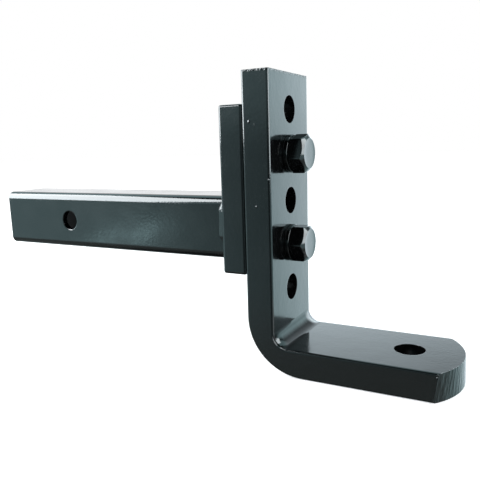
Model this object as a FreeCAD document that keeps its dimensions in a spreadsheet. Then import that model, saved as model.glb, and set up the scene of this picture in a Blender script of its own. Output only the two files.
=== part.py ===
import FreeCAD, Part
import math
import os

import Sketcher

# Height-adjustable tow ball mount, in millimetres: +X from the receiver towards the ball, +Y across, +Z up.
# The origin is the middle of the hitch pin hole, on the shank's axis.

driving_sizes = {
    # square tube that slides into the receiver
    "shank_side": 50.8,
    "shank_wall": 5,
    "shank_corner_radius": 6.5,
    "shank_inner_radius": 2,
    "pin_hole_diameter": 17,
    "pin_to_free_end": 80,
    "pin_to_plate": 171,
    # fillet weld between the tube and the plate
    "weld_on_plate": 4.5,
    "weld_on_shank": 9,
    "weld_crown": 0.7,
    # adapter plate, cut from flat bar
    "plate_thickness": 20,
    "plate_width": 75,
    "plate_height": 128.5,
    "plate_below_shank": 8.4,
    "plate_edge_radius": 2,
    # drop tongue, flat bar bent to an L
    "bar_thickness": 22,
    "bar_width": 75,
    "bar_edge_radius": 1.8,
    "leg_height": 229,
    "tongue_reach": 155,
    "bend_inner_radius": 11,
    "bend_outer_radius": 44,
    "tip_radius": 56,
    "tip_cut_lean": 11,
    "ball_hole_diameter": 23,
    "ball_hole_to_tip": 39,
    "leg_hole_pitch": 35,
    "leg_hole_count": 5,
    "leg_hole_to_end": 27.5,
    # the two screws, the upper one in the second height hole
    "upper_bolt_height": 57,
    "upper_bolt_hole": 2,
    "bolt_spacing_holes": 2,
    "bolt_diameter": 18,
    "bolt_length": 45,
    "bolt_tip_chamfer": 1.5,
    "bolt_across_flats": 27,
    "bolt_head_height": 12.8,
    "bolt_head_chamfer_angle": 32,
    "bolt_face_inset": 3,
    "bearing_face_inset": 1,
    "bearing_face_height": 0.6,
    "upper_bolt_turn": 14,
    "lower_bolt_turn": 59,
    # split spring washers
    "washer_section_width": 5.4,
    "washer_thickness": 3.5,
    "washer_slit_width": 1.2,
    "washer_slit_angle": 20,
    "upper_slit_turn": 205,
    "lower_slit_turn": 160,
    # clearances and how far cuts run past a face
    "thread_clearance": 0.05,
    "leg_hole_clearance": 1.5,
    "bolt_rest_gap": 0.3,
    "washer_bolt_gap": 0.3,
    "cut_margin": 2,
}

doc = FreeCAD.newDocument("tow_ball_mount")
sheet = doc.addObject("Spreadsheet::Sheet", "Sizes")
for row, (alias, value) in enumerate(driving_sizes.items(), start=1):
    sheet.set(f"A{row}", alias)
    sheet.set(f"B{row}", str(value))
    sheet.setAlias(f"B{row}", alias)
doc.recompute()

# points of a sketch edge, and the sketch's own origin and axes
first_end, second_end, middle = range(1, 4)
origin = (-1, 1)
across_axis, upright_axis = range(-1, -3, -1)
touching = 1e-6  # two lengths closer than this are the same


def value_of(expression):
    return float(sheet.evalExpression(expression))


def new_body(name):
    body = doc.addObject("PartDesign::Body", name)
    body.Label = name
    return body


def new_sketch(body, name, role):
    plane = next(item for item in body.Origin.OriginFeatures if item.Role == role)
    sketch = body.newObject("Sketcher::SketchObject", name)
    sketch.AttachmentSupport = [(plane, "")]
    sketch.MapMode = "FlatFace"
    return sketch


def rule(sketch, kind, *place):
    sketch.addConstraint(Sketcher.Constraint(kind, *place))


def dimension(sketch, name, expression, kind, *place):
    # a sketch dimension that follows the sheet
    index = sketch.addConstraint(Sketcher.Constraint(kind, *place, value_of(expression)))
    sketch.renameConstraint(index, name)
    sketch.setExpression(f"Constraints.{name}", expression)


def add_line(sketch, begin, finish):
    return sketch.addGeometry(Part.LineSegment(FreeCAD.Vector(*begin, 0), FreeCAD.Vector(*finish, 0)))


def add_circle(sketch, centre, radius):
    return sketch.addGeometry(Part.Circle(FreeCAD.Vector(*centre, 0), FreeCAD.Vector(0, 0, 1), radius))


def add_arc(sketch, centre, radius, begin_degrees, finish_degrees):
    circle = Part.Circle(FreeCAD.Vector(*centre, 0), FreeCAD.Vector(0, 0, 1), radius)
    return sketch.addGeometry(
        Part.ArcOfCircle(circle, math.radians(begin_degrees), math.radians(finish_degrees))
    )


def add_polygon(sketch, points):
    # closed run of lines through the points, in order
    lines = [add_line(sketch, a, b) for a, b in zip(points, points[1:] + points[:1])]
    for this, following in zip(lines, lines[1:] + lines[:1]):
        rule(sketch, "Coincident", this, second_end, following, first_end)
    return lines


def add_rectangle(sketch, left, low, right, high):
    low_line, right_line, high_line, left_line = add_polygon(
        sketch, [(left, low), (right, low), (right, high), (left, high)]
    )
    for level in (low_line, high_line):
        rule(sketch, "Horizontal", level)
    for upright in (right_line, left_line):
        rule(sketch, "Vertical", upright)
    return low_line, right_line, high_line, left_line


def add_square(sketch, side_expression):
    # square about the sketch's origin
    half = value_of(side_expression) / 2
    low_line, right_line, high_line, _ = add_rectangle(sketch, -half, -half, half, half)
    rule(sketch, "Symmetric", low_line, first_end, high_line, first_end, *origin)
    dimension(sketch, "width", side_expression, "DistanceX", low_line, first_end, low_line, second_end)
    dimension(sketch, "height", side_expression, "DistanceY", right_line, first_end, right_line, second_end)


def add_hole(sketch, diameter_expression, place=None):
    # circle on the origin, or at (across, up), two expressions
    across, up = [value_of(item) for item in place] if place else (0, 0)
    circle = add_circle(sketch, (across, up), value_of(diameter_expression) / 2)
    dimension(sketch, "diameter", diameter_expression, "Diameter", circle)
    if place is None:
        rule(sketch, "Coincident", circle, middle, *origin)
        return circle
    for name, kind, along, axis, expression in (
        ("across", "DistanceX", across, upright_axis, place[0]),
        ("up", "DistanceY", up, across_axis, place[1]),
    ):
        if abs(along) < touching:
            rule(sketch, "PointOnObject", circle, middle, axis)
        elif along > 0:
            dimension(sketch, name, expression, kind, *origin, circle, middle)
        else:
            dimension(sketch, name, f"-({expression})", kind, circle, middle, *origin)
    return circle


def add_pad(body, sketch, name, length, side="One side", back_length=None, backwards=False):
    pad = body.newObject("PartDesign::Pad", name)
    pad.Profile = sketch
    pad.SideType = side
    pad.Reversed = backwards
    pad.setExpression("Length", length)
    if back_length:
        pad.setExpression("Length2", back_length)
    doc.recompute()
    return pad


def cut_through(body, sketch, name, side="One side", backwards=False):
    # pocket right through the body, which has to take material away
    before = body.Shape.Volume
    pocket = body.newObject("PartDesign::Pocket", name)
    pocket.Profile = sketch
    pocket.Type = "ThroughAll"
    pocket.SideType = side
    pocket.Reversed = backwards
    doc.recompute()
    if body.Shape.Volume > before - touching:
        raise RuntimeError(f"{name} cuts nothing")
    return pocket


def cut_round(body, sketch, name):
    # groove about the body's own X axis, which has to take material away
    before = body.Shape.Volume
    groove = body.newObject("PartDesign::Groove", name)
    groove.Profile = sketch
    groove.ReferenceAxis = (sketch, ["H_Axis"])
    groove.Angle = 360
    doc.recompute()
    if body.Shape.Volume > before - touching:
        raise RuntimeError(f"{name} cuts nothing")
    return groove


def repeat_down(body, feature, sketch, name, count, length):
    pattern = body.newObject("PartDesign::LinearPattern", name)
    pattern.Originals = [feature]
    pattern.Direction = (sketch, ["V_Axis"])
    pattern.Reversed = True
    pattern.Mode = "Extent"
    pattern.setExpression("Length", length)
    pattern.setExpression("Occurrences", count)
    body.Tip = pattern
    doc.recompute()
    return pattern


def edges_where(feature, wanted):
    return [f"Edge{n}" for n, edge in enumerate(feature.Shape.Edges, start=1) if wanted(edge)]


def ease_edges(body, feature, kind, name, radius, edges):
    eased = body.newObject(f"PartDesign::{kind}", name)
    eased.Base = (feature, edges)
    eased.setExpression("Radius" if kind == "Fillet" else "Size", radius)
    doc.recompute()
    return eased


def runs_along_x(edge):
    ends = [vertex.Point for vertex in edge.Vertexes]
    return len(ends) == 2 and (ends[1] - ends[0]).cross(FreeCAD.Vector(1, 0, 0)).Length < touching


def put(body, **places):
    for axis, expression in places.items():
        body.setExpression(f"Placement.Base.{axis}", expression)


plate_back = "Sizes.pin_to_plate"
plate_front = "Sizes.pin_to_plate + Sizes.plate_thickness"
leg_front = "Sizes.pin_to_plate + Sizes.plate_thickness + Sizes.bar_thickness"
plate_below_axis = "Sizes.shank_side / 2 + Sizes.plate_below_shank"
lower_bolt_drop = "Sizes.bolt_spacing_holes * Sizes.leg_hole_pitch"
bolt_corner_radius = "Sizes.bolt_across_flats / sqrt(3)"
bolt_face_radius = "Sizes.bolt_across_flats / 2 - Sizes.bolt_face_inset"
bearing_face_radius = "Sizes.bolt_across_flats / 2 - Sizes.bearing_face_inset"
washer_bore = "Sizes.bolt_diameter + 2 * Sizes.washer_bolt_gap"
# the leg hangs on its screws, which leaves the play of the holes below them
leg_hang = "Sizes.leg_hole_clearance - Sizes.bolt_rest_gap"
leg_top = (
    f"Sizes.upper_bolt_height - ({leg_hang}) + Sizes.leg_hole_to_end"
    " + (Sizes.upper_bolt_hole - 1) * Sizes.leg_hole_pitch"
)


def make_shank():
    body = new_body("shank")
    outline = new_sketch(body, "shank_outline", "YZ_Plane")
    add_square(outline, "Sizes.shank_side")
    bar = add_pad(body, outline, "shank_bar", "Sizes.pin_to_plate", "Two sides", "Sizes.pin_to_free_end")
    rolled = ease_edges(
        body, bar, "Fillet", "shank_corners", "Sizes.shank_corner_radius", edges_where(bar, runs_along_x)
    )
    inside = new_sketch(body, "shank_inside", "YZ_Plane")
    inner_side = "Sizes.shank_side - 2 * Sizes.shank_wall"
    add_square(inside, inner_side)
    hollow = cut_through(body, inside, "shank_hollow", "Symmetric")
    inner_half = value_of(inner_side) / 2

    def is_inner_corner(edge):
        return runs_along_x(edge) and all(
            abs(abs(v.Y) - inner_half) < touching and abs(abs(v.Z) - inner_half) < touching
            for v in edge.Vertexes
        )

    ease_edges(
        body, hollow, "Fillet", "shank_inner_corners",
        "Sizes.shank_inner_radius", edges_where(hollow, is_inner_corner),
    )
    pin = new_sketch(body, "pin_hole_outline", "XZ_Plane")
    add_hole(pin, "Sizes.pin_hole_diameter")
    cut_through(body, pin, "pin_hole", "Symmetric")
    return body


def make_weld():
    # bead swept round the tube: two legs at a right angle, closed by a crowned arc
    body = new_body("shank_weld")
    half = value_of("Sizes.shank_side") / 2
    corner = value_of("Sizes.shank_corner_radius")
    flat = half - corner
    path = new_sketch(body, "weld_path", "YZ_Plane")
    top_right = add_line(path, (0, half), (flat, half))
    arc_a = add_arc(path, (flat, flat), corner, 0, 90)
    right = add_line(path, (half, flat), (half, -flat))
    arc_b = add_arc(path, (flat, -flat), corner, 270, 360)
    low = add_line(path, (flat, -half), (-flat, -half))
    arc_c = add_arc(path, (-flat, -flat), corner, 180, 270)
    left = add_line(path, (-half, -flat), (-half, flat))
    arc_d = add_arc(path, (-flat, flat), corner, 90, 180)
    top_left = add_line(path, (-flat, half), (0, half))
    for before, bend, after in (
        (top_right, arc_a, right), (right, arc_b, low), (low, arc_c, left), (left, arc_d, top_left)
    ):
        rule(path, "Tangent", before, second_end, bend, second_end)
        rule(path, "Tangent", bend, first_end, after, first_end)
    rule(path, "Coincident", top_left, second_end, top_right, first_end)
    rule(path, "PointOnObject", top_right, first_end, upright_axis)
    for level in (top_right, low, top_left):
        rule(path, "Horizontal", level)
    for upright in (right, left):
        rule(path, "Vertical", upright)
    for bend in (arc_b, arc_c, arc_d):
        rule(path, "Equal", arc_a, bend)
    rule(path, "Symmetric", arc_a, middle, arc_c, middle, *origin)
    dimension(path, "corner", "Sizes.shank_corner_radius", "Radius", arc_a)
    dimension(path, "width", "Sizes.shank_side", "DistanceX", left, first_end, right, second_end)
    dimension(path, "height", "Sizes.shank_side", "DistanceY", low, first_end, top_right, first_end)

    rise = value_of("Sizes.weld_on_plate")
    run = value_of("Sizes.weld_on_shank")
    crown = value_of("Sizes.weld_crown")
    chord = math.hypot(rise, run)
    radius = crown / 2 + chord**2 / (8 * crown)
    outward = (-rise / chord, run / chord)
    facing = math.degrees(math.atan2(outward[1], outward[0]))
    depth = radius - crown
    centre = (-run / 2 - outward[0] * depth, half + rise / 2 - outward[1] * depth)
    section = new_sketch(body, "weld_section", "XZ_Plane")
    on_plate = add_line(section, (0, half), (0, half + rise))
    on_shank = add_line(section, (-run, half), (0, half))
    spread = math.degrees(math.asin(chord / 2 / radius))
    crown_arc = add_arc(section, centre, radius, facing - spread, facing + spread)
    rule(section, "Vertical", on_plate)
    rule(section, "Horizontal", on_shank)
    rule(section, "Coincident", on_shank, second_end, on_plate, first_end)
    rule(section, "Coincident", on_plate, second_end, crown_arc, first_end)
    rule(section, "Coincident", crown_arc, second_end, on_shank, first_end)
    rule(section, "PointOnObject", on_plate, first_end, upright_axis)
    dimension(section, "root", "Sizes.shank_side / 2", "DistanceY", *origin, on_plate, first_end)
    dimension(section, "rise", "Sizes.weld_on_plate", "DistanceY", on_plate, first_end, on_plate, second_end)
    dimension(section, "run", "Sizes.weld_on_shank", "DistanceX", on_shank, first_end, on_shank, second_end)
    dimension(
        section, "crown_radius",
        "Sizes.weld_crown / 2 + (Sizes.weld_on_plate^2 + Sizes.weld_on_shank^2) / (8 * Sizes.weld_crown)",
        "Radius", crown_arc,
    )
    doc.recompute()
    bead = body.newObject("PartDesign::AdditivePipe", "weld_bead")
    bead.Profile = section
    bead.Spine = (path, [])
    doc.recompute()
    put(body, x=plate_back)
    return body


def make_plate():
    body = new_body("adapter_plate")
    outline = new_sketch(body, "plate_outline", "YZ_Plane")
    half = value_of("Sizes.plate_width") / 2
    below = value_of(plate_below_axis)
    low_line, right_line, _, _ = add_rectangle(
        outline, -half, -below, half, value_of("Sizes.plate_height") - below
    )
    dimension(outline, "half_width", "Sizes.plate_width / 2", "DistanceX", *origin, low_line, second_end)
    dimension(outline, "width", "Sizes.plate_width", "DistanceX", low_line, first_end, low_line, second_end)
    dimension(
        outline, "height", "Sizes.plate_height", "DistanceY", right_line, first_end, right_line, second_end
    )
    dimension(outline, "below", plate_below_axis, "DistanceY", low_line, second_end, *origin)
    slab = add_pad(body, outline, "plate_slab", "Sizes.plate_thickness")
    ease_edges(
        body, slab, "Fillet", "plate_edges", "Sizes.plate_edge_radius", edges_where(slab, lambda edge: True)
    )
    tapped = new_sketch(body, "tapped_hole_outline", "YZ_Plane")
    add_hole(tapped, "Sizes.bolt_diameter + 2 * Sizes.thread_clearance", ("0", "Sizes.upper_bolt_height"))
    hole = cut_through(body, tapped, "tapped_hole", backwards=True)
    repeat_down(body, hole, tapped, "tapped_holes", "2", lower_bolt_drop)
    put(body, x=plate_back)
    return body


def make_tongue():
    # side profile from the leg's back top corner; the bend is thinner than the bar, as pressing leaves it
    body = new_body("drop_tongue")
    bar = value_of("Sizes.bar_thickness")
    tall = value_of("Sizes.leg_height")
    reach = value_of("Sizes.tongue_reach")
    inner = value_of("Sizes.bend_inner_radius")
    outer = value_of("Sizes.bend_outer_radius")
    profile = new_sketch(body, "tongue_profile", "XZ_Plane")
    top_end = add_line(profile, (0, 0), (bar, 0))
    leg_face = add_line(profile, (bar, 0), (bar, bar + inner - tall))
    inner_bend = add_arc(profile, (bar + inner, bar + inner - tall), inner, 180, 270)
    tongue_top = add_line(profile, (bar + inner, bar - tall), (reach, bar - tall))
    tip_end = add_line(profile, (reach, bar - tall), (reach, -tall))
    underside = add_line(profile, (reach, -tall), (outer, -tall))
    outer_bend = add_arc(profile, (outer, outer - tall), outer, 180, 270)
    leg_back = add_line(profile, (0, outer - tall), (0, 0))
    for level in (top_end, tongue_top, underside):
        rule(profile, "Horizontal", level)
    for upright in (leg_face, tip_end, leg_back):
        rule(profile, "Vertical", upright)
    rule(profile, "Coincident", top_end, first_end, *origin)
    for this, following in (
        (top_end, leg_face), (tongue_top, tip_end), (tip_end, underside), (leg_back, top_end)
    ):
        rule(profile, "Coincident", this, second_end, following, first_end)
    rule(profile, "Tangent", leg_face, second_end, inner_bend, first_end)
    rule(profile, "Tangent", inner_bend, second_end, tongue_top, first_end)
    rule(profile, "Tangent", underside, second_end, outer_bend, second_end)
    rule(profile, "Tangent", outer_bend, first_end, leg_back, first_end)
    thickness = "Sizes.bar_thickness"
    dimension(profile, "leg_thickness", thickness, "DistanceX", top_end, first_end, top_end, second_end)
    dimension(profile, "tip_thickness", thickness, "DistanceY", tip_end, second_end, tip_end, first_end)
    dimension(profile, "reach", "Sizes.tongue_reach", "DistanceX", *origin, tip_end, second_end)
    dimension(profile, "tall", "Sizes.leg_height", "DistanceY", tip_end, second_end, *origin)
    dimension(profile, "inner_radius", "Sizes.bend_inner_radius", "Radius", inner_bend)
    dimension(profile, "outer_radius", "Sizes.bend_outer_radius", "Radius", outer_bend)
    bent = add_pad(body, profile, "bent_bar", "Sizes.bar_width", "Symmetric")
    half = value_of("Sizes.bar_width") / 2

    def is_long_edge(edge):
        # an edge of the rolled bar, not of its two cut ends
        ends = [vertex.Point for vertex in edge.Vertexes]
        along_side = all(abs(point.y - ends[0].y) < touching for point in ends)
        on_top_cut = all(abs(point.z) < touching for point in ends)
        on_tip_cut = all(abs(point.x - reach) < touching for point in ends)
        return along_side and abs(abs(ends[0].y) - half) < touching and not on_top_cut and not on_tip_cut

    long_edges = edges_where(bent, is_long_edge)
    ease_edges(body, bent, "Fillet", "rolled_edges", "Sizes.bar_edge_radius", long_edges)

    # what lies beyond the tip's arc is cut away, by a cut that leans sideways through the bar
    radius = value_of("Sizes.tip_radius")
    lean = "Sizes.tip_cut_lean * 1 deg"
    side_expression = (
        f"(Sizes.bar_width / 2 + Sizes.cut_margin + Sizes.bar_thickness / 2 * tan({lean})) / cos({lean})"
    )
    side = value_of(side_expression)
    turn = math.degrees(math.asin(side / radius))
    corner_x = reach - radius + radius * math.cos(math.radians(turn))
    past_tip = "Sizes.tongue_reach + Sizes.cut_margin"
    past = value_of(past_tip)
    waste = new_sketch(body, "tip_waste", "XY_Plane")
    tip_arc = add_arc(waste, (reach - radius, 0), radius, -turn, turn)
    far_line = add_line(waste, (corner_x, side), (past, side))
    beyond = add_line(waste, (past, side), (past, -side))
    near_line = add_line(waste, (past, -side), (corner_x, -side))
    rule(waste, "Coincident", tip_arc, second_end, far_line, first_end)
    rule(waste, "Coincident", far_line, second_end, beyond, first_end)
    rule(waste, "Coincident", beyond, second_end, near_line, first_end)
    rule(waste, "Coincident", near_line, second_end, tip_arc, first_end)
    rule(waste, "Horizontal", far_line)
    rule(waste, "Horizontal", near_line)
    rule(waste, "Vertical", beyond)
    rule(waste, "PointOnObject", tip_arc, middle, across_axis)
    dimension(waste, "radius", "Sizes.tip_radius", "Radius", tip_arc)
    arc_centre = "Sizes.tongue_reach - Sizes.tip_radius"
    dimension(waste, "centre", arc_centre, "DistanceX", *origin, tip_arc, middle)
    dimension(waste, "past", past_tip, "DistanceX", *origin, beyond, first_end)
    dimension(waste, "far_side", side_expression, "DistanceY", *origin, beyond, first_end)
    dimension(waste, "near_side", side_expression, "DistanceY", beyond, second_end, *origin)
    waste.AttachmentOffset = FreeCAD.Placement(
        FreeCAD.Vector(0, 0, bar / 2 - tall),
        FreeCAD.Rotation(FreeCAD.Vector(1, 0, 0), value_of("Sizes.tip_cut_lean")),
    )
    waste.setExpression("AttachmentOffset.Base.z", "Sizes.bar_thickness / 2 - Sizes.leg_height")
    waste.setExpression("AttachmentOffset.Rotation.Angle", "Sizes.tip_cut_lean")
    cut_through(body, waste, "tip_cut", "Symmetric")

    ball = new_sketch(body, "ball_hole_outline", "XY_Plane")
    add_hole(ball, "Sizes.ball_hole_diameter", ("Sizes.tongue_reach - Sizes.ball_hole_to_tip", "0"))
    cut_through(body, ball, "ball_hole")

    height = new_sketch(body, "height_hole_outline", "YZ_Plane")
    leg_hole = "Sizes.bolt_diameter + 2 * Sizes.leg_hole_clearance"
    add_hole(height, leg_hole, ("0", "-Sizes.leg_hole_to_end"))
    hole = cut_through(body, height, "height_hole", backwards=True)
    repeat_down(
        body, hole, height, "height_holes", "Sizes.leg_hole_count",
        "(Sizes.leg_hole_count - 1) * Sizes.leg_hole_pitch",
    )
    put(body, x=plate_front, z=leg_top)
    return body


def make_bolt(name, turn, drop):
    # head on the +X side of its bearing face, thread on the -X side
    body = new_body(name)
    hexagon = new_sketch(body, f"{name}_hexagon", "YZ_Plane")
    corner = value_of(bolt_corner_radius)
    round_line = add_circle(hexagon, (0, 0), corner)
    hexagon.setConstruction(round_line, True)
    corners = [
        (corner * math.cos(math.pi / 3 * k), corner * math.sin(math.pi / 3 * k)) for k in range(6)
    ]
    flats = add_polygon(hexagon, corners)
    rule(hexagon, "Coincident", round_line, middle, *origin)
    for flat in flats:
        rule(hexagon, "PointOnObject", flat, first_end, round_line)
    for flat in flats[1:]:
        rule(hexagon, "Equal", flats[0], flat)
    rule(hexagon, "PointOnObject", flats[0], first_end, across_axis)
    dimension(hexagon, "corner", bolt_corner_radius, "Radius", round_line)
    add_pad(body, hexagon, f"{name}_head", "Sizes.bolt_head_height")

    clear_expression = f"{bolt_corner_radius} + Sizes.cut_margin"
    clear = value_of(clear_expression)
    head = value_of("Sizes.bolt_head_height")
    face = value_of(bolt_face_radius)
    slope_expression = (
        f"({clear_expression} - ({bolt_face_radius})) * tan(Sizes.bolt_head_chamfer_angle * 1 deg)"
    )
    chamfer = new_sketch(body, f"{name}_chamfer_outline", "XY_Plane")
    front, outside, _ = add_polygon(
        chamfer, [(head, face), (head, clear), (head - value_of(slope_expression), clear)]
    )
    rule(chamfer, "Vertical", front)
    rule(chamfer, "Horizontal", outside)
    dimension(chamfer, "head", "Sizes.bolt_head_height", "DistanceX", *origin, front, first_end)
    dimension(chamfer, "face", bolt_face_radius, "DistanceY", *origin, front, first_end)
    dimension(chamfer, "clear", clear_expression, "DistanceY", *origin, front, second_end)
    dimension(chamfer, "slope", slope_expression, "DistanceX", outside, second_end, outside, first_end)
    cut_round(body, chamfer, f"{name}_chamfer")

    step = new_sketch(body, f"{name}_bearing_outline", "XY_Plane")
    bearing = value_of(bearing_face_radius)
    low_line, right_line, _, _ = add_rectangle(
        step, 0, bearing, value_of("Sizes.bearing_face_height"), clear
    )
    rule(step, "PointOnObject", low_line, first_end, upright_axis)
    dimension(step, "bearing", bearing_face_radius, "DistanceY", *origin, low_line, first_end)
    dimension(step, "height", "Sizes.bearing_face_height", "DistanceX", *origin, low_line, second_end)
    dimension(step, "clear", clear_expression, "DistanceY", *origin, right_line, second_end)
    cut_round(body, step, f"{name}_bearing_face")

    round_bar = new_sketch(body, f"{name}_thread_outline", "YZ_Plane")
    add_hole(round_bar, "Sizes.bolt_diameter")
    thread = add_pad(body, round_bar, f"{name}_thread", "Sizes.bolt_length", backwards=True)
    tip = -value_of("Sizes.bolt_length")

    def is_tip_edge(edge):
        return all(abs(vertex.X - tip) < touching for vertex in edge.Vertexes)

    ease_edges(
        body, thread, "Chamfer", f"{name}_tip", "Sizes.bolt_tip_chamfer", edges_where(thread, is_tip_edge)
    )
    turn_about_x(body, turn)
    put(body, x=f"{leg_front} + Sizes.washer_thickness", z=f"Sizes.upper_bolt_height - {drop}")
    return body


def make_washer(name, turn, drop):
    # ring with a slanted slit, pressed flat
    body = new_body(name)
    ring = new_sketch(body, f"{name}_ring_outline", "YZ_Plane")
    outer_expression = f"{washer_bore} + 2 * Sizes.washer_section_width"
    outer = add_circle(ring, (0, 0), value_of(outer_expression) / 2)
    bore = add_circle(ring, (0, 0), value_of(washer_bore) / 2)
    for circle in (outer, bore):
        rule(ring, "Coincident", circle, middle, *origin)
    dimension(ring, "outer", outer_expression, "Diameter", outer)
    dimension(ring, "bore", washer_bore, "Diameter", bore)
    add_pad(body, ring, f"{name}_ring", "Sizes.washer_thickness")

    slit = new_sketch(body, f"{name}_slit_outline", "XY_Plane")
    thick = value_of("Sizes.washer_thickness")
    margin = value_of("Sizes.cut_margin")
    width = value_of("Sizes.washer_slit_width")
    slant = "tan(Sizes.washer_slit_angle * 1 deg)"
    lean_expression = f"(Sizes.washer_thickness + 2 * Sizes.cut_margin) * {slant}"
    lean = value_of(lean_expression)
    back, low_side, front, high_side = add_polygon(
        slit,
        [
            (-margin, (width - lean) / 2), (-margin, (-width - lean) / 2),
            (thick + margin, (lean - width) / 2), (thick + margin, (lean + width) / 2),
        ],
    )
    rule(slit, "Vertical", back)
    rule(slit, "Vertical", front)
    dimension(slit, "back", "Sizes.cut_margin", "DistanceX", back, first_end, *origin)
    through = "Sizes.washer_thickness + Sizes.cut_margin"
    dimension(slit, "front", through, "DistanceX", *origin, front, first_end)
    slit_width = "Sizes.washer_slit_width"
    dimension(slit, "back_width", slit_width, "DistanceY", back, second_end, back, first_end)
    dimension(slit, "front_width", slit_width, "DistanceY", front, first_end, front, second_end)
    dimension(slit, "lean", lean_expression, "DistanceY", low_side, first_end, low_side, second_end)
    dimension(
        slit, "centre", f"({lean_expression} + Sizes.washer_slit_width) / 2", "DistanceY",
        back, second_end, *origin,
    )
    cut_through(body, slit, f"{name}_slit")
    turn_about_x(body, turn)
    put(body, x=leg_front, z=f"Sizes.upper_bolt_height - {drop}")
    return body


def turn_about_x(body, turn):
    body.Placement = FreeCAD.Placement(
        FreeCAD.Vector(), FreeCAD.Rotation(FreeCAD.Vector(1, 0, 0), value_of(turn))
    )
    body.setExpression("Placement.Rotation.Angle", turn)


pieces = [
    make_shank(),
    make_weld(),
    make_plate(),
    make_tongue(),
    make_washer("upper_spring_washer", "Sizes.upper_slit_turn", "0"),
    make_washer("lower_spring_washer", "Sizes.lower_slit_turn", lower_bolt_drop),
    make_bolt("upper_bolt", "Sizes.upper_bolt_turn", "0"),
    make_bolt("lower_bolt", "Sizes.lower_bolt_turn", lower_bolt_drop),
]
doc.recompute()

failed = [item.Label for item in doc.Objects if {"Invalid", "Error"} & set(item.State)]
if failed:
    raise RuntimeError(f"not rebuilt: {failed}")
for piece in pieces:
    shape = piece.Shape
    if shape.isNull() or not shape.isValid() or len(shape.Solids) != 1:
        raise RuntimeError(f"{piece.Label} is not one sound solid")

os.makedirs("parts", exist_ok=True)
for piece in pieces:
    piece.Shape.exportStep(f"parts/{piece.Label}.step")
    print(f"{piece.Label}: {piece.Shape.Volume / 1000:.1f} cm3")
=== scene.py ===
import math

import bpy
import numpy as np
from mathutils import Matrix, Vector


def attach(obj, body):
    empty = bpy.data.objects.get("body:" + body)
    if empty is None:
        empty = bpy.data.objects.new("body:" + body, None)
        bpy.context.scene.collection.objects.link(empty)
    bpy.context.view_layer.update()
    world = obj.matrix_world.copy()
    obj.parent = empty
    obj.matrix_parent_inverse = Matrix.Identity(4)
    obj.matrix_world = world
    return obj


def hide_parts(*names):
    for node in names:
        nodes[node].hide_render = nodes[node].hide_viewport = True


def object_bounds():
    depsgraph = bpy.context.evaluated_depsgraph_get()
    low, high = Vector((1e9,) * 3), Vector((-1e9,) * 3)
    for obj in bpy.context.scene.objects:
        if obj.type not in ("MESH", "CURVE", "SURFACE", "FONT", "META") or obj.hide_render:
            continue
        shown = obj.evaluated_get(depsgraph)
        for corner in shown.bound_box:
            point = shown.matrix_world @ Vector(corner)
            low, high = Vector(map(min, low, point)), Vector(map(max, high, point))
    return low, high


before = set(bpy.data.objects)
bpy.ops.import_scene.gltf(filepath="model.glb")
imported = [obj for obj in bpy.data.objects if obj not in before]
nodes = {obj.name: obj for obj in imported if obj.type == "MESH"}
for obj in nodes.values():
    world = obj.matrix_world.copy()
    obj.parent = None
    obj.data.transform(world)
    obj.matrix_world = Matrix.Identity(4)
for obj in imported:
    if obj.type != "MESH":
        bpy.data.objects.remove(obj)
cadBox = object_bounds()
mm = 0.001  # lengths below are in millimetres, the frame is in metres
print("frame loaded:", ", ".join(sorted(nodes)))


def gridFaces(rows, columns, wrapRows):
    # quads between neighbours of a grid whose columns, and rows where asked, close on themselves
    r, c = np.meshgrid(np.arange(rows if wrapRows else rows - 1), np.arange(columns), indexing="ij")
    here, below = r * columns, (r + 1) % rows * columns
    beside = (c + 1) % columns
    return np.stack([here + c, here + beside, below + beside, below + c], -1).reshape(-1, 4)


def closedSkin(grid, wrapRows):
    # skin over a grid of rings: the last ring joins the first, or a fan of triangles closes each end
    rows, columns = grid.shape[:2]
    points = grid.reshape(-1, 3)
    quads = gridFaces(rows, columns, wrapRows)
    fans = np.empty((0, 3), int)
    if not wrapRows:
        points = np.vstack([points, grid[0].mean(0), grid[-1].mean(0)])
        ring = np.arange(columns)
        beside = (ring + 1) % columns
        first, last = rows * columns, (rows - 1) * columns
        firstFan = np.stack([np.full(columns, first), beside, ring], -1)
        lastFan = np.stack([np.full(columns, first + 1), last + ring, last + beside], -1)
        fans = np.vstack([firstFan, lastFan])
    triangles = np.vstack([fans, quads[:, [0, 1, 2]], quads[:, [0, 2, 3]]])
    a, b, c = (points[triangles[:, k]] for k in range(3))
    volume = np.einsum("ij,ij->i", a, np.cross(b, c)).sum() / 6
    faces = quads.tolist() + fans.tolist()
    if volume < 0:  # inside out, so every face is turned round
        faces = [face[::-1] for face in faces]
    return points, faces


def makePiece(name, grid, body, material, replaced, wrapRows=False):
    points, faces = closedSkin(grid, wrapRows)
    mesh = bpy.data.meshes.new(name)
    mesh.from_pydata(points * mm, [], faces)
    mesh.polygons.foreach_set("use_smooth", np.ones(len(mesh.polygons), bool))
    mesh.update()
    piece = bpy.data.objects.new(name, mesh)
    bpy.context.scene.collection.objects.link(piece)
    mesh.materials.append(material)
    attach(piece, body)
    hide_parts(replaced)
    return piece


def softMin(sharpness, *values):
    # the smallest of several lengths, rounded over where they cross
    return sum(value ** -sharpness for value in values) ** (-1 / sharpness)


def nodeAdder(holder):
    tree = holder.node_tree

    def add(kind, inputs=None, **settings):
        node = tree.nodes.new(kind)
        for key, value in settings.items():
            setattr(node, key, value)
        for key, value in (inputs or {}).items():
            if isinstance(value, bpy.types.NodeSocket):
                tree.links.new(value, node.inputs[key])
            else:
                node.inputs[key].default_value = value
        return node

    return add


def calc(add, operation, first, second=0.0):
    return add("ShaderNodeMath", {0: first, 1: second}, operation=operation).outputs["Value"]


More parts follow.
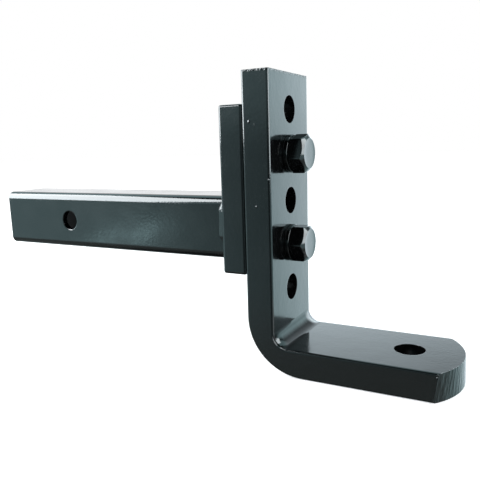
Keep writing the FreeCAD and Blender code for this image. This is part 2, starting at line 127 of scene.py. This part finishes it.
def fade(add, value, start, finish, low=0.0, high=1.0):
    # goes smoothly from low at start to high at finish
    span = {"Value": value, "From Min": start, "From Max": finish, "To Min": low, "To Max": high}
    return add("ShaderNodeMapRange", span, interpolation_type="SMOOTHSTEP").outputs["Result"]


def slope(add, value, start, finish, low=0.0, high=1.0):
    # goes in a straight line from low at start to high at finish
    span = {"Value": value, "From Min": start, "From Max": finish, "To Min": low, "To Max": high}
    return add("ShaderNodeMapRange", span).outputs["Result"]


def mix(add, factor, first, second, kind="FLOAT"):
    return add("ShaderNodeMix", {"Factor": factor, "A": first, "B": second}, data_type=kind).outputs["Result"]


def noise(add, place, scale, detail=3.0):
    return add("ShaderNodeTexNoise", {"Vector": place, "Scale": scale, "Detail": detail}).outputs["Fac"]


def hypotenuse(add, first, second):
    squares = [calc(add, "MULTIPLY", side, side) for side in (first, second)]
    return calc(add, "SQRT", calc(add, "ADD", *squares))


paintLook = {
    "colour": (0.0010, 0.0011, 0.0012, 1),
    "paler": 1.8,  # how many times lighter it gets in places
    "cloudScale": 38.0,
    "cloudSpan": (0.3, 0.7),
    "ior": 1.65,
    "roughness": (0.09, 0.16),
    "shine": 0.5,
    "orangePeel": 0.07,  # fine ripple of the sprayed paint
    "peelScale": 420.0,
    "waves": 0.08,  # slow ripple of the rolled steel under it
    "waveScale": 70.0,
    "edgeEase": 0.4,
    "edgeSamples": 6,
    "bumpUnit": 0.5,  # millimetres of height that a bump of 1 stands for
    "blisters": [],  # x, y, z and radius of each blister in the paint
    "blisterTop": 0.15,  # the level part of a blister, as a share of its radius
    "tipCut": None,
    "sawnEnd": None,
    "bendUpset": None,
    "holeEase": None,
    "inside": None,
}


def fromLine(add, axes, x, z):
    # distance from a line along Y
    across = calc(add, "SUBTRACT", axes["X"], x * mm)
    up = calc(add, "SUBTRACT", axes["Z"], z * mm)
    return hypotenuse(add, across, up)


def tipMask(add, axes, cut):
    # 1 on the cut tip: there the distance from the leaning cut's axis is the cut's radius
    lean = math.radians(cut["lean"])
    upward = calc(add, "SUBTRACT", axes["Z"], cut["middle"] * mm)
    level = calc(add, "MULTIPLY", axes["Y"], math.cos(lean))
    sideways = calc(add, "ADD", level, calc(add, "MULTIPLY", upward, math.sin(lean)))
    along = calc(add, "SUBTRACT", axes["X"], cut["x"] * mm)
    start, finish = ((cut["radius"] - short) * mm for short in cut["short"])
    onArc = fade(add, hypotenuse(add, along, sideways), start, finish)
    start, finish = (distance * mm for distance in cut["ahead"])
    return calc(add, "MULTIPLY", onArc, fade(add, along, start, finish))


def sawnMask(add, axes, sawn):
    # 1 on the sawn top of the leg
    start, finish = ((sawn["top"] - below) * mm for below in sawn["below"])
    return fade(add, axes["Z"], start, finish)


def insideMask(add, axes, inside):
    # 1 in the tube's square hollow
    deep = calc(add, "MAXIMUM", calc(add, "ABSOLUTE", axes["Y"]), calc(add, "ABSOLUTE", axes["Z"]))
    start, finish = ((inside["half"] + beyond) * mm for beyond in inside["beyond"])
    return fade(add, deep, start, finish, 1.0, 0.0)


def grain(add, place, mask, marks):
    # noise about zero, where mask is 1, drawn out along an axis that has a small stretch
    stretched = {0: place, 1: marks["stretch"]}
    drawn = add("ShaderNodeVectorMath", stretched, operation="MULTIPLY").outputs["Vector"]
    about = calc(add, "SUBTRACT", noise(add, drawn, marks["scale"], detail=marks["detail"]), 0.5)
    return calc(add, "MULTIPLY", calc(add, "MULTIPLY", about, mask), marks["depth"])


def blisterHeight(add, place, blister, levelPart):
    # 1 in the middle of a blister, smoothly down to 0 at its radius
    x, y, z, radius = blister
    spot = {0: place, 1: (x * mm, y * mm, z * mm)}
    away = add("ShaderNodeVectorMath", spot, operation="DISTANCE").outputs["Value"]
    return fade(add, away, levelPart * radius * mm, radius * mm, 1.0, 0.0)


def upsetDrop(add, axes, upset):
    # round the inside of the bend the bar falls away to its sides, as the square of the nearness to them
    start, finish = (distance * mm for distance in upset["reach"])
    around = fade(add, fromLine(add, axes, upset["x"], upset["z"]), start, finish, 1.0, 0.0)
    aside = calc(add, "ABSOLUTE", axes["Y"])
    near = slope(add, aside, (upset["half"] - upset["width"]) * mm, upset["half"] * mm)
    start, finish = ((upset["half"] - margin) * mm for margin in upset["flatSide"])
    offSide = fade(add, aside, start, finish, 1.0, 0.0)  # the sides stay flat
    fall = calc(add, "MULTIPLY", calc(add, "MULTIPLY", near, near), -upset["drop"])
    return calc(add, "MULTIPLY", calc(add, "MULTIPLY", fall, around), offSide)


def rimDrop(add, axes, ease):
    # the paint slopes down to the rim of the pin hole, whose axis is the frame's Y axis
    start, finish = ease["radius"] * mm, (ease["radius"] + ease["width"]) * mm
    return slope(add, fromLine(add, axes, 0.0, 0.0), start, finish, -ease["drop"], 0.0)


def dull(add, rough, shine, mask, finish):
    # where mask is 1, at least as rough as the finish says, and with part of the shine lost
    rougher = calc(add, "MAXIMUM", rough, calc(add, "MULTIPLY", mask, finish["roughness"]))
    return rougher, calc(add, "SUBTRACT", shine, calc(add, "MULTIPLY", mask, finish["lostShine"]))


def glossBlack(name, look):
    # black paint whose gloss and shade vary in clouds, with the sum of its ripples and marks as its height
    material = bpy.data.materials.new(name)
    material.use_nodes = True
    material.node_tree.nodes.clear()
    add = nodeAdder(material)
    place = add("ShaderNodeTexCoord").outputs["Object"]
    axes = add("ShaderNodeSeparateXYZ", {"Vector": place}).outputs
    cloud = noise(add, place, look["cloudScale"])
    rough = fade(add, cloud, *look["cloudSpan"], *look["roughness"])
    shine = look["shine"]
    marks = [calc(add, "MULTIPLY", noise(add, place, look["waveScale"], detail=1.0), look["waves"])]
    marks += [blisterHeight(add, place, blister, look["blisterTop"]) for blister in look["blisters"]]
    if look["tipCut"]:
        onCut = tipMask(add, axes, look["tipCut"])
        marks.append(grain(add, place, onCut, look["tipCut"]["drag"]))
        rough, shine = dull(add, rough, shine, onCut, look["tipCut"])
    if look["sawnEnd"]:
        marks.append(grain(add, place, sawnMask(add, axes, look["sawnEnd"]), look["sawnEnd"]["burr"]))
    if look["bendUpset"]:
        marks.append(upsetDrop(add, axes, look["bendUpset"]))
    if look["holeEase"]:
        marks.append(rimDrop(add, axes, look["holeEase"]))
    if look["inside"]:
        rough, shine = dull(add, rough, shine, insideMask(add, axes, look["inside"]), look["inside"])
    height = calc(add, "MULTIPLY", noise(add, place, look["peelScale"], detail=2.0), look["orangePeel"])
    for mark in marks:
        height = calc(add, "ADD", height, mark)
    r, g, b, a = look["colour"]
    paler = (r * look["paler"], g * look["paler"], b * look["paler"], a)
    eased = add("ShaderNodeBevel", {"Radius": look["edgeEase"] * mm}, samples=look["edgeSamples"])
    bump = add("ShaderNodeBump", {
        "Height": height,
        "Strength": 1.0,
        "Distance": look["bumpUnit"] * mm,
        "Normal": eased.outputs["Normal"],
    })
    skin = add("ShaderNodeBsdfPrincipled", {
        "Base Color": mix(add, cloud, look["colour"], paler, "RGBA"),
        "Roughness": rough,
        "IOR": look["ior"],
        "Specular IOR Level": shine,
        "Normal": bump.outputs["Normal"],
    })
    add("ShaderNodeOutputMaterial", {"Surface": skin.outputs["BSDF"]})
    return material


tonguePaint = glossBlack("tonguePaint", {
    **paintLook,
    "blisters": [
        (197.0, -37.5, 81.4, 1.3),
        (201.2, -37.5, 78.9, 0.6),
        (201.5, -37.5, 19.3, 0.9),
        (212.0, -37.5, 39.3, 0.8),
        (333.0, -37.5, -91.8, 0.9),
        (333.3, -37.4, -89.7, 0.7),
    ],
    "tipCut": {
        "x": 290.0,
        "middle": -99.7,
        "lean": 11.0,
        "radius": 56.0,
        "short": (0.35, 0.1),  # how far inside the cut its finish starts and is whole
        "ahead": (20.0, 30.0),
        "roughness": 0.3,
        "lostShine": 0.1,
        "drag": {"stretch": (1.0, 1.0, 0.16), "scale": 480.0, "detail": 4.0, "depth": 2.0},
    },
    "sawnEnd": {
        "top": 118.3,
        "below": (2.2, 0.5),
        "burr": {"stretch": (1.0, 1.0, 1.0), "scale": 520.0, "detail": 3.0, "depth": 2.2},
    },
    "bendUpset": {
        "x": 216.2,
        "z": -85.5,
        "reach": (2.0, 8.0),
        "half": 37.5,  # half of the bar's width
        "width": 12.0,
        "flatSide": (0.4, 0.1),
        "drop": 5.0,
    },
})
shankPaint = glossBlack("shankPaint", {
    **paintLook,
    "holeEase": {"radius": 8.5, "width": 0.8, "drop": 1.4},
    "inside": {"half": 20.4, "beyond": (0.1, 0.5), "roughness": 0.7, "lostShine": 0.46},
})
boltBlack = glossBlack("boltBlack", {**paintLook, "edgeEase": 0.15, "orangePeel": 0.03})
for nodeName in nodes:
    nodes[nodeName].data.materials.clear()
    nodes[nodeName].data.materials.append(tonguePaint if nodeName == "drop_tongue" else shankPaint)
print("finishes made")

weldSizes = {
    "plateFace": 171.0,
    "half": 25.4,  # half of the tube's side
    "corner": 6.5,
    "onPlate": 4.6,
    "onShank": 10.6,
    "thin": 0.45,  # how much of that is left where the bead runs out
    "thinOnPlate": 0.4,  # share of onPlate that never shrinks
    "full": (-14.0, -5.0, 12.0, 22.0),  # heights between which the bead grows and shrinks
    "topLoss": 0.7,
    "crown": 0.9,
    "passes": 3,
    "passDepth": 0.5,
    "ripplePitch": 2.4,
    "ripple": 0.16,
    "lean": 0.8,  # how far the crescents lean back, in ripples
    "waves": [(3, 1.0, 0.7), (8, 0.6, 2.1)],  # slow waves round the tube: how many, how large, and phase
    "wander": 0.3,
    "sway": 0.12,
    "sunk": 0.5,  # how deep the bead's back lies in the metal
    "sideSteps": 40,
    "cornerSteps": 10,
    "acrossSteps": 25,
}


def smoothStep(value, start, finish):
    t = np.clip((value - start) / (finish - start), 0, 1)
    return t * t * (3 - 2 * t)


def weldGrid(sizes):
    # profile along a path: the path runs round the tube's rounded square, and at each point the profile
    # goes from the plate to the tube along a crowned arc with a groove between the passes, then back inside
    # the metal; crescents lean back along the path, and slow waves make the bead wander
    half, corner = sizes["half"], sizes["corner"]
    flat = half - corner
    turns = np.linspace(0, np.pi / 2, sizes["cornerSteps"])
    straight = np.linspace(-flat, flat, sizes["sideSteps"])[1:-1]
    quarter = np.vstack([
        np.stack([np.full_like(straight, half), straight, np.zeros_like(straight)], -1),
        np.stack([flat + corner * np.cos(turns), flat + corner * np.sin(turns), turns], -1),
    ])
    a, b, heading = quarter.T
    sides = []
    for turn in np.arange(4) * np.pi / 2:
        c, s = math.cos(turn), math.sin(turn)
        sides.append(np.stack([c * a - s * b, s * a + c * b, heading + turn], -1))
    path = np.vstack(sides)
    step = np.linalg.norm(np.diff(path[:, :2], axis=0, append=path[:1, :2]), axis=1)
    whole = step.sum()
    way = np.concatenate([[0], np.cumsum(step)[:-1]])[:, None] / whole
    across = np.linspace(0, 1, sizes["acrossSteps"])[None, :]
    hump = 4 * across * (1 - across)  # 1 in the middle of the bead, 0 at both its edges
    rise, run = sizes["onPlate"], sizes["onShank"]
    chord = math.hypot(rise, run)
    between = 1 - np.abs(np.sin(np.pi * sizes["passes"] * across))
    groove = sizes["passDepth"] * between * np.clip(2 * hump, 0, 1)
    count = round(whole / sizes["ripplePitch"])
    crescent = np.cos(2 * np.pi * (count * way - sizes["lean"] * (2 * across - 1) ** 2)) * hump
    wander = sum(size * np.sin(2 * np.pi * number * way + phase) for number, size, phase in sizes["waves"])
    lift = sizes["crown"] * hump - groove + sizes["ripple"] * crescent + sizes["sway"] * wander * hump
    level = path[:, 1:2]
    low, lowFull, highFull, high = sizes["full"]
    grown = smoothStep(level, low, lowFull) * (1 - sizes["topLoss"] * smoothStep(level, highFull, high))
    share = sizes["thin"] + (1 - sizes["thin"]) * grown
    plateShare = sizes["thinOnPlate"] + (1 - sizes["thinOnPlate"]) * share
    reach = (run + sizes["wander"] * (wander - 1)) * share
    outward = rise * plateShare * (1 - across) + lift * share * run / chord
    alongTube = reach * across + lift * share * rise / chord
    sunk = sizes["sunk"]
    backOut = np.array([-0.8 * sunk, -sunk, -sunk, -sunk, 0.2 * rise])  # under the tube's skin, then out
    backAlong = reach * np.array([1.0, 0.7, 0.4, 0.0, 0.0]) - sunk * np.array([0, 0, 0, 1, 1])
    outward = np.hstack([outward, np.broadcast_to(backOut, backAlong.shape)])
    alongTube = np.hstack([alongTube, backAlong])
    y = path[:, :1] + outward * np.cos(path[:, 2:])
    z = level + outward * np.sin(path[:, 2:])
    x = np.broadcast_to(sizes["plateFace"] - alongTube, y.shape)
    return np.stack([x, y, z], -1)


boltSizes = {
    "seat": 216.5,  # where the head bears on the washer
    "headHeight": 12.8,
    "acrossFlats": 27.0,
    "sharpness": 70,  # of the head's corners
    "faceRadius": 11.6,
    "chamferAngle": 36.0,
    "chamferZone": 4.2,  # how far down the head the chamfer's rings lie close together
    "bearingRadius": 12.5,
    "bearingHeight": 0.6,
    "dish": 0.25,
    "threadRadius": 9.0,
    "pitch": 2.5,
    "threadDepth": 1.5,
    "rootFlat": 0.25,  # shares of half a pitch
    "flank": 0.625,
    "runOut": 3.0,
    "length": 45.0,
    "tipChamfer": 1.5,
    "sectorSteps": 28,
    "crowding": 0.85,
    "chamferRings": 34,
    "flatRings": 6,
    "ringsPerPitch": 9,
}


def boltGrid(sizes, turn, height):
    # rings of radius r(x, angle) from the middle of the head's face to the screw's tip: on the head the
    # smaller of the hexagon and the chamfer's cone, below it a right-hand thread with flat crests and roots
    sector = np.linspace(0, 1, sizes["sectorSteps"], endpoint=False)
    sector = sector - sizes["crowding"] * np.sin(2 * np.pi * sector) / (2 * np.pi)  # closer at the corners
    angle = (np.add.outer(np.arange(6), sector).ravel() * 60 + turn) * np.pi / 180
    full = np.ones_like(angle)
    flats = np.radians(turn + 30 + 60 * np.arange(6))
    slant = np.maximum(np.cos(angle[:, None] - flats), 1e-6)
    hexagon = softMin(sizes["sharpness"], *(sizes["acrossFlats"] / 2 / slant).T)
    seat, face = sizes["seat"], sizes["faceRadius"]
    bearing, thread = sizes["bearingRadius"], sizes["threadRadius"]
    top = seat + sizes["headHeight"]
    under = seat + sizes["bearingHeight"]
    tip = seat - sizes["length"]

    inward = np.array([0.12, 0.35, 0.6, 0.8, 0.92, 0.975])
    faceX = top - sizes["dish"] * (1 - inward ** 4)
    faceR = face * inward[:, None] * full

    zone = sizes["chamferZone"]
    chamferX = zone * np.linspace(0, 1, sizes["chamferRings"]) ** 1.4
    flatX = np.linspace(zone + 0.4, top - under - 0.15, sizes["flatRings"])
    sideX = top - np.concatenate([chamferX, flatX])
    chamfer = face + (top - sideX[:, None]) / math.tan(math.radians(sizes["chamferAngle"]))
    sideR = softMin(sizes["sharpness"], hexagon, chamfer)

    # under the head: in over the flats, down the bearing face and in to the thread, with broken edges
    lowX = np.array([under + 0.04, under, under, under - 0.05, seat + 0.06, seat, seat, seat - 0.05])
    rounds = np.array([bearing + 0.06, bearing, bearing, bearing - 0.06, thread + 0.05, thread - 0.02])
    lowR = np.vstack([hexagon - 0.02, hexagon - 0.15, rounds[:, None] * full])

    rings = int(sizes["length"] / sizes["pitch"] * sizes["ringsPerPitch"])
    threadX = np.linspace(seat - 0.2, tip, rings)
    down = threadX[:, None]
    phase = (down / sizes["pitch"] - angle / (2 * np.pi)) % 1
    crest = np.clip((np.abs(2 * phase - 1) - sizes["rootFlat"]) / sizes["flank"], 0, 1)
    depth = sizes["threadDepth"] * np.clip((seat - 0.5 - down) / sizes["runOut"], 0, 1)
    tipCone = thread - sizes["tipChamfer"] + down - tip
    threadR = np.minimum(thread - depth * (1 - crest), tipCone)

    endX = np.array([tip, tip])
    endR = thread * np.array([0.7, 0.3])[:, None] * full
    x = np.concatenate([faceX, sideX, lowX, threadX, endX])
    r = np.vstack([faceR, sideR, lowR, threadR, endR])
    return np.stack([x[:, None] * full, r * np.cos(angle), height + r * np.sin(angle)], -1)


washerSizes = {
    "leg": 213.0,  # the face that the washer lies on
    "thickness": 3.5,
    "innerRadius": 9.3,
    "outerRadius": 14.7,
    "edge": 0.6,
    "slit": 1.2,
    "slitAngle": 20.0,
    "edgeSteps": 6,
    "roundSteps": 150,
}


def washerGrid(sizes, slitAt, height):
    # profile along a circle: a rectangle with rounded edges goes round from one side of the slit to the
    # other, and the slit's place slides round with depth, so that it slants
    middleR = (sizes["innerRadius"] + sizes["outerRadius"]) / 2
    halfR = (sizes["outerRadius"] - sizes["innerRadius"]) / 2
    halfX = sizes["thickness"] / 2
    edge = sizes["edge"]
    quarter = np.linspace(0, np.pi / 2, sizes["edgeSteps"])
    turns = np.add.outer(np.arange(4) * np.pi / 2, quarter)
    cornerR = np.array([[1], [-1], [-1], [1]]) * (halfR - edge)
    cornerX = np.array([[1], [1], [-1], [-1]]) * (halfX - edge)
    radius = middleR + (cornerR + edge * np.cos(turns)).ravel()
    deep = (cornerX + edge * np.sin(turns)).ravel()
    centre = math.radians(slitAt) + deep * math.tan(math.radians(sizes["slitAngle"])) / radius
    gap = sizes["slit"] / 2 / radius
    way = np.linspace(0, 1, sizes["roundSteps"])[:, None]
    angle = centre + gap + way * (2 * np.pi - 2 * gap)
    x = np.broadcast_to(sizes["leg"] + halfX + deep, angle.shape)
    return np.stack([x, radius * np.cos(angle), height + radius * np.sin(angle)], -1)


# the two screws with their washers: height in the leg, and how head and slit happen to be turned
fastenings = {
    "upper": {"height": 57.0, "headTurn": 14.0, "slitAt": 115.0},
    "lower": {"height": -13.0, "headTurn": 59.0, "slitAt": 70.0},
}
makePiece("weldBead", weldGrid(weldSizes), "mount", shankPaint, "shank_weld", wrapRows=True)
for side, at in fastenings.items():
    ring = washerGrid(washerSizes, at["slitAt"], at["height"])
    makePiece(f"{side}WasherRing", ring, f"{side}_washer", boltBlack, f"{side}_spring_washer")
for side, at in fastenings.items():
    screw = boltGrid(boltSizes, at["headTurn"], at["height"])
    makePiece(f"{side}Screw", screw, f"{side}_screw", boltBlack, f"{side}_bolt")
print("weld, screws and washers made")

# pale floor, which glows to white away from the part
stageLook = {
    "half": 6.0,
    "drop": 0.0005,
    "colour": (0.8, 0.8, 0.8, 1),
    "middle": (0.15, 0.0),  # where the glow is weakest, so that the part keeps its shadow
    "glow": (0.5, 1.0),
    "glowSpan": (0.3, 0.9),
}
half = stageLook["half"]
floorLevel = cadBox[0].z - stageLook["drop"]
corners = [(x, y, floorLevel) for x, y in ((-half, -half), (half, -half), (half, half), (-half, half))]
floorMesh = bpy.data.meshes.new("floor")
floorMesh.from_pydata(corners, [], [(0, 1, 2, 3)])
floor = bpy.data.objects.new("floor", floorMesh)
bpy.context.scene.collection.objects.link(floor)
floor.visible_glossy = False  # the paint mirrors the room instead
floorWhite = bpy.data.materials.new("floorWhite")
floorWhite.use_nodes = True
floorWhite.node_tree.nodes.clear()
add = nodeAdder(floorWhite)
spot = {0: add("ShaderNodeTexCoord").outputs["Object"], 1: (*stageLook["middle"], floorLevel)}
away = add("ShaderNodeVectorMath", spot, operation="DISTANCE").outputs["Value"]
glow = slope(add, away, *stageLook["glowSpan"], *stageLook["glow"])
matte = add("ShaderNodeBsdfDiffuse", {"Color": stageLook["colour"]})
light = add("ShaderNodeEmission", {"Color": (1, 1, 1, 1), "Strength": glow})
both = add("ShaderNodeAddShader", {0: matte.outputs["BSDF"], 1: light.outputs["Emission"]})
add("ShaderNodeOutputMaterial", {"Surface": both.outputs["Shader"]})
floorMesh.materials.append(floorWhite)

# the room that the paint mirrors; a span is where a change starts and ends along X, Y or Z of a direction,
# or in the cosine of its angle to a direction named Towards
roomLook = {
    "sideColour": (0.63, 0.95, 1.0, 1),
    "backColour": (0.84, 0.98, 1.05, 1),
    "floorColour": (0.85, 1.0, 0.98, 1),
    "leftColour": (0.97, 0.985, 1.0, 1),
    "wall": 1.0,
    "darkTowards": (0.32, -0.947, 0.0),  # the dim end of the room
    "darkSpan": (0.90, 0.50),
    "darkPower": 1.5,
    "dark": (0.12, 0.3),  # less dim higher up
    "darkHeights": (0.12, 0.35),
    "low": 0.27,  # the floor in front of the part
    "lowSpan": (-0.25, -0.42),
    "lowFront": (0.80, 0.0),
    "back": 1.42,  # the bright back wall
    "backTowards": (-0.35, 0.94, 0.0),
    "backSpan": (0.60, 0.80),
    "high": 0.4,  # the walls are lighter above the horizon
    "highSpan": (-0.02, 0.10),
    "left": 0.48,  # the back wall is dimmer on its left
    "leftSpan": (-0.38, -0.48),
    "faded": (0.35, 0.05),  # how far the walls dim with height, on the left and on the right
    "fadedSides": (-0.32, 0.05),
    "fadedSpan": (0.10, 0.50),
    "ceiling": 0.2,
    "ceilingSpan": (0.46, 0.54),
    "under": 0.1,  # straight down is the part's own shadow
    "underSpan": (-0.62, -0.82),
    "seam": 2.5,  # a lit fold of the floor's paper, low on the left
    "seamTowards": (-0.630, -0.760, -0.156),
    "seamAcross": (-0.238, -0.001, 0.971),
    "seamHalf": (0.020, 0.004),
    "seamEnds": (0.9955, 0.9995),
    "overhead": 1.2,  # a light panel over the back of the room
    "overheadSpan": (0.40, 0.60),
    "overheadBack": (-0.15, 0.20),
    "fill": 0.2,  # even light for everything but mirrored rays
}
world = bpy.data.worlds.new("room")
bpy.context.scene.world = world
world.use_nodes = True
world.node_tree.nodes.clear()
add = nodeAdder(world)
direction = add("ShaderNodeTexCoord").outputs["Generated"]
axes = add("ShaderNodeSeparateXYZ", {"Vector": direction}).outputs


def facing(towards):
    return add("ShaderNodeVectorMath", {0: direction, 1: towards}, operation="DOT_PRODUCT").outputs["Value"]


def spanned(value, key, low=0.0, high=1.0):
    return fade(add, value, *roomLook[key], low, high)


def times(first, second):
    return calc(add, "MULTIPLY", first, second)


lit = slope(add, facing(roomLook["darkTowards"]), *roomLook["darkSpan"])
lit = calc(add, "POWER", lit, roomLook["darkPower"])
room = slope(add, lit, 0.0, 1.0, spanned(axes["Z"], "darkHeights", *roomLook["dark"]), roomLook["wall"])
lowDown = times(spanned(axes["Z"], "lowSpan"), spanned(axes["Y"], "lowFront"))
behind = spanned(facing(roomLook["backTowards"]), "backSpan")
onLeft = times(spanned(axes["X"], "leftSpan"), behind)
room = mix(add, lowDown, room, roomLook["low"])
room = calc(add, "ADD", room, times(behind, roomLook["back"]))
room = calc(add, "ADD", room, times(spanned(axes["Z"], "highSpan"), roomLook["high"]))
room = times(room, fade(add, onLeft, 0.0, 1.0, 1.0, roomLook["left"]))
faded = spanned(axes["X"], "fadedSides", *roomLook["faded"])
dimming = {"fadedSpan": faded, "ceilingSpan": roomLook["ceiling"], "underSpan": roomLook["under"]}
for span, share in dimming.items():
    room = times(room, spanned(axes["Z"], span, 1.0, share))
onSeam = spanned(calc(add, "ABSOLUTE", facing(roomLook["seamAcross"])), "seamHalf", 0.0, roomLook["seam"])
room = calc(add, "ADD", room, times(onSeam, spanned(facing(roomLook["seamTowards"]), "seamEnds")))
overhead = spanned(axes["Z"], "overheadSpan", 0.0, roomLook["overhead"])
room = calc(add, "ADD", room, times(overhead, spanned(axes["Y"], "overheadBack")))
tone = mix(add, lowDown, roomLook["sideColour"], roomLook["floorColour"], "RGBA")
tone = mix(add, behind, tone, roomLook["backColour"], "RGBA")
tone = mix(add, onLeft, tone, roomLook["leftColour"], "RGBA")
rays = add("ShaderNodeLightPath").outputs
mirrored = calc(add, "MAXIMUM", rays["Is Glossy Ray"], rays["Is Transmission Ray"])
strength = mix(add, rays["Is Camera Ray"], mix(add, mirrored, roomLook["fill"], room), 1.0)
shade = mix(add, mirrored, (1, 1, 1, 1), tone, "RGBA")
background = add("ShaderNodeBackground", {"Color": shade, "Strength": strength})
add("ShaderNodeOutputWorld", {"Surface": background.outputs["Background"]})

# two softboxes, each turned to look at its aim
lampColour = (0.94, 1.0, 1.03)
lampLook = {
    "leftSoftbox": {
        "place": (-0.79, -0.57, 0.55),
        "aim": (0.107, -0.11, 0.05),
        "size": (1.10, 1.05),
        "radiance": 11.0,
    },
    "rightSoftbox": {
        "place": (1.25, 0.25, 0.42),
        "aim": (0.22, 0.0, 0.05),
        "size": (1.05, 0.95),
        "radiance": 6.0,
    },
}
for name, look in lampLook.items():
    lamp = bpy.data.lights.new(name, "AREA")
    lamp.shape = "RECTANGLE"
    lamp.size, lamp.size_y = look["size"]
    lamp.energy = look["radiance"] * math.pi * math.prod(look["size"])  # the face is as bright as radiance
    lamp.color = lampColour
    holder = bpy.data.objects.new(name, lamp)
    bpy.context.scene.collection.objects.link(holder)
    holder.location = look["place"]
    gaze = Vector(look["aim"]) - Vector(look["place"])
    holder.rotation_euler = gaze.to_track_quat("-Z", "Y").to_euler()
    holder.visible_camera = False

# camera at the photograph's viewing angle
shot = {
    "place": (0.389274, -0.409661, 0.066966),
    "azimuth": 28.563,
    "elevation": 9.8205,
    "roll": -1.801,
    "lens": 42.335,
    "sensor": 36,
    "clipStart": 0.01,
}
azimuth, elevation, roll = (math.radians(shot[key]) for key in ("azimuth", "elevation", "roll"))
flat = math.cos(elevation)
back = Vector((math.sin(azimuth) * flat, -math.cos(azimuth) * flat, math.sin(elevation)))
level = Vector((math.cos(azimuth), math.sin(azimuth), 0))
upright = back.cross(level)
right = level * math.cos(roll) + upright * math.sin(roll)
up = upright * math.cos(roll) - level * math.sin(roll)
cameraData = bpy.data.cameras.new("camera")
cameraData.lens = shot["lens"]
cameraData.sensor_width = shot["sensor"]
cameraData.clip_start = shot["clipStart"]
camera = bpy.data.objects.new("camera", cameraData)
bpy.context.scene.collection.objects.link(camera)
camera.matrix_world = Matrix.Translation(shot["place"]) @ Matrix((right, up, back)).transposed().to_4x4()
bpy.context.scene.camera = camera
bpy.context.scene.view_settings.view_transform = "Standard"
print("stage, lights and camera placed")
